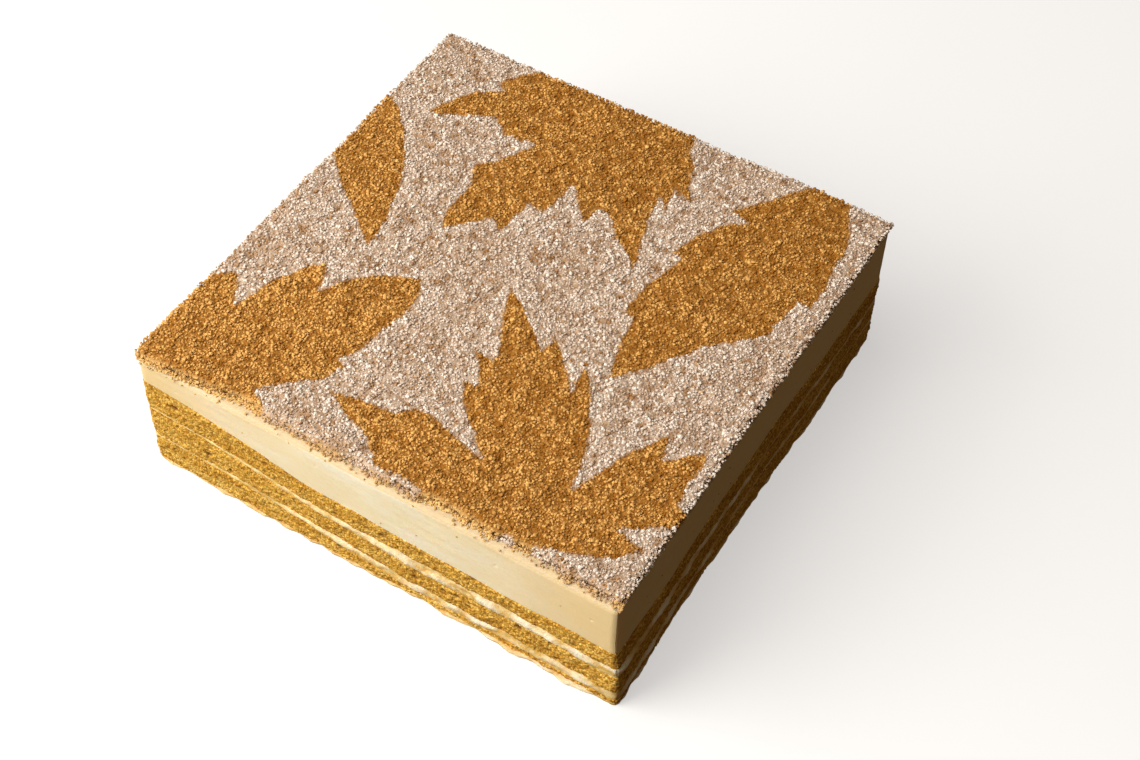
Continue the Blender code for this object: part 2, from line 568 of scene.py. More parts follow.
@dataclass(frozen=True)
class CakeForm:
    """The form that the layers share: their heights, and how far the cut sides stray from straight."""

    side: float = 200 * MM
    mean_height: float = 62.7 * MM
    crumb_depth: float = 3.6 * MM
    rise_x: float = 0.0055
    rise_y: float = 0.0195
    swollen_corner: tuple[float, float] = (-100 * MM, -100 * MM)
    swollen_reach: float = 84 * MM
    sunken_spot: tuple[float, float] = (64 * MM, -100 * MM)
    sunken_core: float = 30 * MM
    sunken_reach: float = 120 * MM
    knife_wave: float = 0.5 * MM
    knife_length: float = 60 * MM
    slump: float = 1.6 * MM
    slump_reach: float = 60 * MM
    slump_width: float = 14 * MM
    slump_full: float = 16 * MM
    slump_top: float = 40 * MM
    corner_wear: float = 0.9 * MM
    corner_reach: float = 2.5 * MM
    seam_wave: float = 0.35 * MM
    seam_length: float = 6 * MM
    seam_swing: float = 0.6 * MM
    swing_length: float = 24 * MM
    smooth_seams: tuple[int, ...] = (0, 1)
    brow: float = 1.9 * MM
    knife_key: float = 1.0
    seam_key: float = 20.0
    swing_key: float = 40.0

    @property
    def half(self) -> float:
        """Half of a side."""
        return self.side / 2

    def near(self, x: Array, y: Array, spot: tuple[float, float], core: float, reach: float) -> Array:
        """How near each point is to a spot.

        Args:
            x: Places across.
            y: Places towards the back.
            spot: The spot.
            core: Within this distance the result is 1.
            reach: From this distance it is 0.

        Returns:
            One value for each point, from 0 to 1.
        """
        return 1 - smooth_step(np.hypot(x - spot[0], y - spot[1]), core, reach)

    def seam(self, below: int, x: Array, y: Array) -> Array:
        """The height of the seam above the lowest layers.

        Args:
            below: How many layers lie under it.
            x: Places across.
            y: Places towards the back.

        Returns:
            One height for each point.
        """
        swollen = self.near(x, y, self.swollen_corner, 0.0, self.swollen_reach)
        sunken = self.near(x, y, self.sunken_spot, self.sunken_core, self.sunken_reach)
        height = np.zeros_like(x)
        for depth in list(LAYERS.values())[:below]:
            height = height + depth.general + depth.swollen * swollen + depth.sunken * sunken
        if below in self.smooth_seams:
            return height
        places = flat_places(x, y)
        calm = 1 - 0.8 * swollen
        uneven = ripple(places, self.seam_length, self.seam_key + below)
        uneven = uneven + 0.4 * ripple(places, self.seam_length / 2.5, below)
        swing = self.seam_swing * ripple(places, self.swing_length, self.swing_key + below)
        return height + calm * (self.seam_wave * uneven + swing)

    def slab_top(self, x: Array, y: Array) -> Array:
        """The height of the flat, slightly tilted face that the crumbs lie on."""
        return self.mean_height - self.crumb_depth + self.rise_x * x + self.rise_y * y

    def brow_drop(self, inset: Array) -> Array:
        """How far the slab's rounded upper edge lies below its top.

        Args:
            inset: How far each point lies inside the cut side.

        Returns:
            One depth for each point.
        """
        short = np.clip(self.brow - inset, 0.0, self.brow)
        return self.brow - np.sqrt(self.brow**2 - short**2)

    def outward(self, x: Array, y: Array) -> Array:
        """The direction away from the cake: nil inside it, and slanting at a corner.

        Args:
            x: Places across.
            y: Places towards the back.

        Returns:
            One row of X, Y and Z for each point.
        """
        edge = self.half - HAIR
        across = np.sign(x) * (np.abs(x) > edge)
        along = np.sign(y) * (np.abs(y) > edge)
        return np.column_stack((across, along, np.zeros_like(x)))

    def knife(self, x: Array, y: Array) -> Array:
        """How far the cut side strays outward. It doesn't at the corners.

        Args:
            x: Places across, on the rim.
            y: Places towards the back, on the rim.

        Returns:
            One distance for each point.
        """
        along = np.where(np.abs(y) > np.abs(x), x, y)
        wave = ripple(flat_places(x, y), self.knife_length, self.knife_key)
        return self.knife_wave * wave * np.cos(math.pi * along / self.side)

    def crept(self, points: Array) -> Array:
        """How far the lower layers have crept along +X where they bear the most, at the front corner.

        Args:
            points: Places on a layer's surface.

        Returns:
            One distance for each point.
        """
        x, y, z = points.T
        corner = (self.half, -self.half)
        low = 1 - smooth_step(z, self.slump_full, self.slump_top)
        outer = smooth_step(x, self.half - self.slump_width, self.half)
        return self.slump * low * outer * self.near(x, y, corner, 0.0, self.slump_reach)

    def worn_corner(self, x: Array, y: Array) -> Array:
        """How far a wall point draws in because the cake's upright corners are soft."""
        gap = self.half - np.minimum(np.abs(x), np.abs(y))
        return self.corner_wear * np.clip(1 - gap / self.corner_reach, 0.0, 1.0) ** 2


@dataclass(frozen=True)
class WallGrid:
    """The mesh that a layer starts from: a coarse square sheet raised into a slab with fine walls."""

    cells: int
    rim_cuts: int
    wall_cuts: int

    def build(self, side: float) -> bmesh.types.BMesh:
        """Makes the slab, one unit tall.

        Args:
            side: Its length and width.

        Returns:
            A closed mesh on z = 0.
        """
        mesh = bmesh.new()
        bmesh.ops.create_grid(mesh, x_segments=self.cells, y_segments=self.cells, size=side / 2)
        rim = [edge for edge in mesh.edges if edge.is_boundary]
        bmesh.ops.subdivide_edges(mesh, edges=rim, cuts=self.rim_cuts)
        bmesh.ops.triangulate(mesh, faces=mesh.faces[:])
        raised = bmesh.ops.extrude_face_region(mesh, geom=mesh.faces[:])["geom"]
        top = [part for part in raised if isinstance(part, bmesh.types.BMVert)]
        bmesh.ops.translate(mesh, verts=top, vec=(0, 0, 1))
        upright = [edge for edge in mesh.edges if abs(edge.verts[0].co.z - edge.verts[1].co.z) > 0.5]
        bmesh.ops.subdivide_edges(mesh, edges=upright, cuts=self.wall_cuts)
        bmesh.ops.recalc_face_normals(mesh, faces=mesh.faces[:])
        return mesh


def flat_places(x: Array, y: Array) -> Array:
    """Puts places across and towards the back together as rows of X, Y and a Z of 0."""
    return np.column_stack((x, y, np.zeros_like(x)))


def place_points(mesh: bmesh.types.BMesh, points: Array) -> None:
    """Moves a mesh's points to the given places, one row for each."""
    for vertex, point in zip(mesh.verts, points.tolist()):
        vertex.co = point


def add_values(mesh: bpy.types.Mesh, values: Mapping[str, Array]) -> None:
    """Stores values for the points of a mesh, for its material to read.

    Args:
        mesh: The mesh.
        values: One number for each point, under each name.
    """
    for name, numbers in values.items():
        layer = mesh.attributes.new(name, "FLOAT", "POINT")
        layer.data.foreach_set("value", np.asarray(numbers, np.float32))


def add_piece(
    name: str,
    mesh: bpy.types.Mesh,
    material: bpy.types.Material,
    slot: str,
    stands_for: Sequence[str] = (),
) -> bpy.types.Object:
    """Puts a finished mesh in the scene as a piece of the cake.

    Args:
        name: The piece's name.
        mesh: Its mesh, in place.
        material: Its finish.
        slot: The material slot of the record that it takes its finish from. Not used.
        stands_for: The solids that it is shown in place of.

    Returns:
        The piece.
    """
    mesh.materials.append(material)
    piece = bpy.data.objects.new(name, mesh)
    bpy.context.scene.collection.objects.link(piece)
    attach(piece, BODY)
    for node in stands_for:
        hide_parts(node)
    log.info("%s: %d faces", name, len(mesh.polygons))
    return piece


@dataclass
class Layer:
    """A layer between two seams, shown at the cake's four sides."""

    name: str
    form: CakeForm
    grid: WallGrid
    slot: str
    crease: float = 60.0

    @property
    def order(self) -> int:
        """How many layers lie under this one."""
        return list(LAYERS).index(self.name) if self.name in LAYERS else len(LAYERS)

    def floor(self, x: Array, y: Array) -> Array:
        """The height of the underside."""
        return self.form.seam(self.order, x, y)

    def ceiling(self, x: Array, y: Array) -> Array:
        """The height of the upper side."""
        return self.form.seam(self.order + 1, x, y)

    def relief(self, points: Array, share: Array) -> tuple[Array, dict[str, Array]]:
        """How far each point of the wall stands out.

        Args:
            points: Places on the straight wall.
            share: How high each lies in the layer, from 0 to 1.

        Returns:
            The distances, and the values that the material reads.
        """
        raise NotImplementedError

    def material(self) -> bpy.types.Material:
        """Writes the layer's finish."""
        raise NotImplementedError

    def build(self) -> bpy.types.Object:
        """Makes the piece.

        Returns:
            The piece.
        """
        mesh = self.grid.build(self.form.side)
        start = np.array([vertex.co for vertex in mesh.verts], float)
        x, y, share = start.T
        low, high = self.floor(x, y), self.ceiling(x, y)
        points = np.column_stack((x, y, low + (high - low) * share))
        away = self.form.outward(x, y)
        rim = np.abs(away).sum(axis=1) > 0
        push, values = self.relief(points[rim], share[rim])
        push = push + self.form.knife(x[rim], y[rim]) - self.form.worn_corner(x[rim], y[rim])
        points[rim] += away[rim] * push[:, None]
        points[:, 0] += self.form.crept(points)
        place_points(mesh, points)
        bmesh.ops.triangulate(mesh, faces=mesh.faces[:])
        data = bpy.data.meshes.new(self.name)
        mesh.to_mesh(data)
        mesh.free()
        data.shade_smooth()
        data.set_sharp_from_angle(angle=math.radians(self.crease))
        whole = {}
        for name, numbers in values.items():
            whole[name] = np.zeros(len(points))
            whole[name][rim] = numbers
        add_values(data, whole)
        return add_piece(self.name, data, self.material(), self.slot, [self.name])


def packed(points: Array, size: float, key: float) -> Array:
    """Crumbs packed side by side.

    Args:
        points: Places on a surface.
        size: How far apart the crumbs lie.
        key: Each key gives another pattern.

    Returns:
        For each point 1 in the middle of its crumb, down to 0 where it meets the next one.
    """
    places = points / size + PACKED_SHIFT * key
    nearest = np.array([noise.voronoi(place)[0][:2] for place in places.tolist()])
    return 1 - nearest[:, 0] / np.maximum(nearest[:, 1], HAIR)


@dataclass(frozen=True)
class Pits:
    """Round hollows scattered over a surface.

    Attributes:
        spacing: How far apart the hollows could be.
        share: How many of those places have one.
        radius: The smallest and the largest.
        stretch: How many times longer they are along X, Y and Z.
    """

    spacing: float
    share: float
    radius: tuple[float, float]
    stretch: Triple = EVEN

    def deep(self, points: Array, key: float) -> Array:
        """How deep each point lies in a hollow.

        Args:
            points: Places on the surface.
            key: Each key gives another pattern.

        Returns:
            One depth for each point, from 0 to 1.
        """
        small, large = self.radius
        places = points / (self.spacing * np.array(self.stretch)) + PITS_SHIFT * key
        deep = np.zeros(len(points))
        for index, place in enumerate(places.tolist()):
            distances, centres = noise.voronoi(place)
            draw = noise.cell(centres[0] * PITS_DRAW + Vector((key, key, key)))
            draw = draw * 0.5 + 0.5
            if draw < self.share:
                reach = (small + (large - small) * draw / self.share) / self.spacing
                deep[index] = max(0.0, 1 - (distances[0] / reach) ** 2)
        return deep


@dataclass(frozen=True)
class Hole:
    """A large pore in the front side of a sponge."""

    x: float
    z: float
    radius: float
    stretch: Triple = (1.5, 1.0, 0.8)

    def deep(self, points: Array, half: float) -> Array:
        """How deep each point lies in it.

        Args:
            points: Places on the surface.
            half: How far the front side lies from the middle.

        Returns:
            One depth for each point, from 0 to 1.
        """
        middle = np.array((self.x, -half, self.z))
        far = (points - middle) / (self.radius * np.array(self.stretch))
        return np.clip(1 - (far**2).sum(axis=1), 0.0, 1.0)


HOLES = (
    Hole(-86.5 * MM, 38.0 * MM, 1.8 * MM), Hole(-73 * MM, 20 * MM, 1.3 * MM),
    Hole(-39 * MM, 20 * MM, 1.2 * MM), Hole(-46 * MM, 34 * MM, 1.2 * MM),
    Hole(-15 * MM, 27 * MM, 0.9 * MM), Hole(11 * MM, 25 * MM, 0.9 * MM),
    Hole(36 * MM, 15.5 * MM, 1.2 * MM), Hole(41 * MM, 13 * MM, 1.1 * MM),
    Hole(62 * MM, 17 * MM, 1.2 * MM), Hole(84 * MM, 25 * MM, 1.0 * MM), Hole(-93 * MM, 9 * MM, 1.0 * MM),
    Hole(-60 * MM, 9 * MM, 1.0 * MM),
)


@dataclass
class Sponge(Layer):
    """A sheet of sponge with a torn, porous edge that stands a little proud."""

    key: float = 0.0
    proud: float = 0.45 * MM
    crag: float = 0.3 * MM
    crag_length: float = 7 * MM
    rough: float = 0.14 * MM
    rough_length: float = 2.4 * MM
    lump: float = 0.55 * MM
    lump_size: float = 1.7 * MM
    pore: float = 1.1 * MM
    soft_edge: float = 0.12
    large_pores: Pits = Pits(6.5 * MM, 0.25, (0.8 * MM, 1.7 * MM), (1.3, 1.3, 0.8))
    small_pores: Pits = Pits(2.4 * MM, 0.45, (0.4 * MM, 0.9 * MM), (1.2, 1.2, 0.9))
    finish: SpongeFinish = field(default_factory=SpongeFinish)

    def relief(self, points: Array, share: Array) -> tuple[Array, dict[str, Array]]:
        """The crags, crumbs and pores of the torn edge.

        Args:
            points: Places on the straight wall.
            share: How high each lies in the layer, from 0 to 1.

        Returns:
            How far each point stands out, and how much painted shade it takes in pores and crevices, partly
            as darker crumb.
        """
        crag = self.crag * ripple(points, self.crag_length, self.key)
        rough = self.rough * ripple(points, self.rough_length, self.key + 1)
        lumps = packed(points, self.lump_size, self.key + 2)
        large = self.large_pores.deep(points, self.key)
        small = self.small_pores.deep(points, self.key + 3)
        edge = smooth_step(np.minimum(share, 1 - share), 0.0, self.soft_edge)
        push = self.proud * (0.4 + 0.6 * edge) + crag + rough + self.lump * (lumps - 0.5)
        for hole in HOLES:
            large = np.maximum(large, 1.2 * hole.deep(points, self.form.half))
        push = push - self.pore * np.maximum(large, 0.5 * small)
        # Painted shade in the crevices between the lumps.
        crevice_shade = 0.35 * (1 - smooth_step(lumps, 0.0, 0.3))
        return push, {"pore_dark_and_shade": np.clip(large + 0.45 * small + crevice_shade, 0.0, 1.0)}

    def material(self) -> bpy.types.Material:
        """Writes the layer's finish."""
        return self.finish.material()


@dataclass
class Filling(Layer):
    """A filling of soft cream, squeezed out in beads where it is thick."""

    key: float = 0.0
    bead: float = 0.85 * MM
    bead_length: float = 6 * MM
    bead_stretch: Triple = (1.4, 1.4, 0.7)
    thin: float = 0.8 * MM
    thick: float = 4.0 * MM
    dull_to: float = -30 * MM
    white_from: float = 50 * MM

    def relief(self, points: Array, share: Array) -> tuple[Array, dict[str, Array]]:
        """The beads, which follow how thick the filling is and are whiter towards the right.

        Args:
            points: Places on the straight wall.
            share: How high each lies in the layer, from 0 to 1.

        Returns:
            How far each point stands out, and how white it is as part of a bulge.
        """
        x, y, _ = points.T
        depth = self.ceiling(x, y) - self.floor(x, y)
        plump = smooth_step(depth, self.thin, self.thick)
        middle = 1 - (2 * share - 1) ** 2
        lump = ripple(points, self.bead_length, self.key, self.bead_stretch)
        small = ripple(points, self.bead_length / 3, self.key + 1)
        push = self.bead * (0.25 + plump) * (middle * (0.5 + 0.5 * lump) + 0.15 * small)
        creamy = 0.4 + 0.6 * smooth_step(x, self.dull_to, self.white_from)
        return push, {"bulge": creamy * np.clip(plump * (0.35 + 0.9 * lump), 0.0, 1.0)}

    def material(self) -> bpy.types.Material:
        """Writes the layer's finish."""
        return FillingFinish(self.name).material()


@dataclass
class BaseSmear(Filling):
    """The cream that the lowest sponge stands on, smeared out here and there.

    Attributes:
        smears: The middle, the distance that it stands out and the reach to either side of each smear.
    """

    dull_to: float = 10 * MM
    white_from: float = 60 * MM
    swell: float = 0.5 * MM
    crinkle: float = 0.15 * MM
    smears: tuple[tuple[float, float, float], ...] = (
        (-66 * MM, 0.2 * MM, 7 * MM), (-31 * MM, 0.2 * MM, 9 * MM), (4 * MM, 0.4 * MM, 7 * MM),
        (31 * MM, 0.8 * MM, 6 * MM), (59 * MM, 1.5 * MM, 8 * MM), (80 * MM, 1.4 * MM, 7 * MM),
    )

    def relief(self, points: Array, share: Array) -> tuple[Array, dict[str, Array]]:
        """The smears along the front, and small lumps all round.

        Args:
            points: Places on the straight wall.
            share: How high each lies in the layer, from 0 to 1. Not used.

        Returns:
            How far each point stands out, and how white it is as part of a bulge.
        """
        x, y, _ = points.T
        front = y < -self.form.half + HAIR
        spread = sum(out * np.exp(-(((x - middle) / reach) ** 2)) for middle, out, reach in self.smears)
        lump = ripple(points, self.bead_length, self.key)
        small = ripple(points, self.bead_length / 3, self.key + 1)
        push = self.swell * (0.6 + lump) + self.crinkle * small + front * spread * (0.8 + 0.3 * lump)
        creamy = 0.2 + 0.8 * smooth_step(x, self.dull_to, self.white_from)
        return push, {"bulge": creamy * np.clip(0.3 + 0.8 * lump, 0.0, 1.0)}


@dataclass
class Slab(Layer):
    """The slab of set cream under the crumbs: cut smooth, with a soft upper edge."""

    key: float = 31.0
    drag: float = 0.04 * MM
    drag_length: float = 3.0 * MM
    drag_stretch: Triple = (12.0, 12.0, 1.0)
    swell: float = 0.16 * MM
    swell_length: float = 22 * MM
    bubble: float = 0.4 * MM
    bubbles: Pits = Pits(7.0 * MM, 0.3, (0.45 * MM, 0.9 * MM))
    finish: SlabFinish = field(default_factory=SlabFinish)

    def ceiling(self, x: Array, y: Array) -> Array:
        """The height of the upper side."""
        return self.form.slab_top(x, y)

    def relief(self, points: Array, share: Array) -> tuple[Array, dict[str, Array]]:
        """The knife's drag marks, small bubbles and the rounded upper edge.

        Args:
            points: Places on the straight wall.
            share: How high each lies in the layer, from 0 to 1. Not used.

        Returns:
            How far each point stands out, and how far up the rounded edge it lies.
        """
        x, y, z = points.T
        drag = self.drag * ripple(points, self.drag_length, self.key, self.drag_stretch)
        swell = self.swell * ripple(points, self.swell_length, self.key + 2)
        bubble = self.bubbles.deep(points, self.key + 4)
        radius = self.form.brow
        under = np.clip((z - (self.form.slab_top(x, y) - radius)) / radius, 0.0, 1.0)
        brow = radius * (1 - np.sqrt(np.maximum(0.0, 1 - under**2)))
        return drag + swell - self.bubble * bubble - brow, {"brow": under}

    def material(self) -> bpy.types.Material:
        """Writes the layer's finish."""
        return self.finish.material()


@dataclass(frozen=True)
class Leaf:
    """A leaf that kept the sugar off the crumbs, by the corners of its outline in millimetres."""

    name: str
    outline: tuple[tuple[float, float], ...]

    def inside(self, points: Array) -> Array:
        """How far each point lies inside the leaf.

        Args:
            points: Places across and towards the back, one in each row.

        Returns:
            One distance for each point, below 0 outside.
        """
        corners = np.array(self.outline) * MM
        following = np.roll(corners, -1, axis=0)
        within = np.zeros(len(points), bool)
        nearest = np.full(len(points), np.inf)
        for start, end in zip(corners, following):
            along = end - start
            share = np.clip((points - start) @ along / (along @ along), 0.0, 1.0)
            nearest = np.minimum(nearest, np.linalg.norm(points - start - share[:, None] * along, axis=1))
            crosses = (start[1] > points[:, 1]) != (end[1] > points[:, 1])
            level = start[0] + along[0] * (points[:, 1] - start[1]) / (along[1] or 1e-12)
            within ^= crosses & (points[:, 0] < level)
        return np.where(within, nearest, -nearest)


LEAVES = (
    Leaf("broad_leaf_at_the_back", (
        (-69, 87.5), (-57, 103), (15, 103), (17, 94), (22.5, 86.5), (26.5, 76.5), (32.5, 69), (27.5, 70),
        (21.5, 72.5), (24, 63.5), (26.5, 56.5), (19, 66), (21, 55), (26.5, 38.5), (31, 25), (23.5, 33.5),
        (15, 38.5), (8.5, 46), (3.5, 49), (1, 37.5), (-12, 53), (-14, 33.5), (-21, 36.5), (-23, 16.5),
        (-28.5, 22.5), (-42.5, 7.5), (-46.5, 16.5), (-46, 33.5), (-51.5, 42.5), (-44, 50), (-37, 64.5),
        (-50, 62.5), (-57.5, 68.5), (-83.5, 56.5), (-79, 67.5), (-72.5, 78.5), (-63.5, 84.5),
    )),
    Leaf("long_leaf_on_the_right", (
        (81.5, 103), (85, 95), (91, 83.5), (92.5, 72.5), (91.5, 71.5), (94, 58.5), (93.5, 46.5),
        (88.5, 46), (86.5, 26.5), (76.5, 16), (74, 15), (63.5, 0), (53.5, -15), (48, -21), (43.5, -6.5),
        (41, 7.5), (36.5, 8.5), (36.5, 25), (41.5, 42.5), (36.5, 43.5), (40, 55), (46.5, 66.5),
        (54, 71.5), (45, 73.5), (56, 88.5), (66, 103),
    )),
    Leaf("smooth_leaf_on_the_left", (
        (-103, 59), (-91.5, 52.5), (-83.5, 43.5), (-75, 31.5), (-68.5, 20), (-64, 6.5), (-61, -3.5),
        (-60.5, -14), (-68.5, -8.5), (-78.5, 0), (-88.5, 6.5), (-101, 19),
    )),
    Leaf("leaf_at_the_left_corner", (
        (-34, -16.5), (-30, -23.5), (-29.5, -33.5), (-31.5, -45), (-34, -58.5), (-37.5, -63.5),
        (-33.5, -65), (-36, -73.5), (-50, -86.5), (-54, -90), (-46.5, -95), (-45, -103), (-103, -103),
        (-103, -56), (-93.5, -49), (-90, -53.5), (-84.5, -62.5), (-80, -45), (-73.5, -33.5),
        (-67.5, -29), (-64, -35), (-62.5, -41.5), (-56.5, -30), (-46.5, -21.5),
    )),
    Leaf("broad_leaf_at_the_front", (
        (-5, -2), (4, -7.5), (14, -15.5), (21, -22), (23.5, -14.5), (32, -22.5), (40, -32), (38.5, -24),
        (37, -17.5), (41.5, -22), (48, -32), (56, -45.5), (60.5, -58), (62.5, -67), (66.5, -56.5),
        (70, -45), (79, -30), (82.5, -41), (93.5, -30), (96, -36.5), (95, -44.5), (96.5, -55),
        (103, -56), (103, -61), (84.5, -74), (96.5, -76.5), (88.5, -85), (76.5, -90), (64, -94),
        (63.5, -103), (57.5, -103), (57, -96), (54.5, -94.5), (51, -96.5), (50.5, -103), (20, -103),
        (19, -95), (0, -95), (-9, -87), (-21, -83), (-32, -77), (-21, -74), (-7, -72.5), (-2.5, -66.5),
        (6, -67), (29, -73), (19, -64), (9.5, -56), (5, -48), (11, -48), (5.5, -39.5), (-0.5, -33),
        (9, -35), (8.5, -32), (3.5, -21), (-2, -11),
    )),
)


class Key:
    """The keys of the patterns on top of the cake, so that no two are alike."""

    DRIFT = 4.0
    SMALL_DRIFT = 43.0
    ROUGH = 45.0
    DARK = 47.0
    SUGAR_EDGE = 51.0
    SUGAR_PATCH = 53.0
    SUGAR_CLUMP = 55.0
    CLUMP = 57.0
    BROAD_CLUMP = 59.0
    BARE_RIM = 61.0
    SMALL_BARE_RIM = 63.0


@dataclass(frozen=True)
class Dusting:
    """Icing sugar sieved over leaves that were lifted off again."""

    leaves: tuple[Leaf, ...] = LEAVES
    stray: float = 0.6 * MM
    stray_length: float = 2.5 * MM
    edge: tuple[float, float] = (-0.2 * MM, 1.2 * MM)
    bank: float = 5 * MM
    patch: float = 9 * MM
    clump: float = 2.6 * MM
    worn_rim: tuple[float, float] = (2.0 * MM, 5 * MM)

    def cover(self, x: Array, y: Array, form: CakeForm) -> Array:
        """How thick the sugar lies.

        Args:
            x: Places across.
            y: Places towards the back.
            form: The cake's form.

        Returns:
            From 0, bare, to 1, white, for each point.
        """
        points = np.column_stack((x, y))
        deepest = np.max([leaf.inside(points) for leaf in self.leaves], axis=0)
        places = flat_places(x, y)
        edge = deepest + self.stray * ripple(places, self.stray_length, Key.SUGAR_EDGE)
        cover = 1 - smooth_step(edge, *self.edge)
        bank = 1 - smooth_step(-deepest, 0.0, self.bank)
        patch = ripple(places, self.patch, Key.SUGAR_PATCH)
        clumps = 0.10 * patch + 0.16 * ripple(places, self.clump, Key.SUGAR_CLUMP)
        patchy = 0.83 + clumps + 0.17 * bank
        rim = 0.35 + 0.65 * smooth_step(Side.FRONT.inset(x, y, form.half), *self.worn_rim)
        return cover * np.clip(patchy, 0.0, 1.0) * rim


class Cut(Enum):
    """The plain shape that a grain is bent from."""

    EIGHT_SIDED = 1
    TWENTY_SIDED = 2
    BLOCKY = 3


@dataclass(frozen=True)
class GrainKind:
    """Crumbs of one size: their share of all the crumbs, their form and their colour."""

    name: str
    share: float
    radius: tuple[float, float]
    cut: Cut
    squash: float = 0.68
    dents: tuple[float, float] = (0.78, 1.18)
    stretches: tuple[float, float] = (0.78, 1.2)
    tone: float = 0.60
    tone_spread: float = 0.13
    # Grains darker towards the back right: partly painted falloff of the key lamp's light, partly darker
    # baking.
    light_falloff_and_bake_behind: float = 0.14
    # Painted light on the clumps and painted shade in the gaps between them.
    painted_light_on_clumps: float = 0.55
    # Painted shade on the lower part of each grain, where the grains shade each other.
    painted_shade_below: float = 0.45
    missed_share: float = 0.04
    missed_cover: float = 0.4

    def shape(self) -> tuple[Array, Array]:
        """Makes the plain grain that each crumb is bent from.

        Returns:
            Its points on a ball of radius 1, and its triangles.
        """
        mesh = bmesh.new()
        if self.cut is Cut.BLOCKY:
            bmesh.ops.create_cube(mesh, size=2.0)
            bmesh.ops.subdivide_edges(mesh, edges=mesh.edges[:], cuts=1, use_grid_fill=True)
            bmesh.ops.triangulate(mesh, faces=mesh.faces[:])
        elif self.cut is Cut.TWENTY_SIDED:
            bmesh.ops.create_icosphere(mesh, subdivisions=1, radius=1.0)
        else:
            bmesh.ops.create_uvsphere(mesh, u_segments=4, v_segments=2, radius=1.0)
        points = np.array([vertex.co.normalized() for vertex in mesh.verts])
        faces = np.array([[vertex.index for vertex in face.verts] for face in mesh.faces])
        mesh.free()
        return points, faces


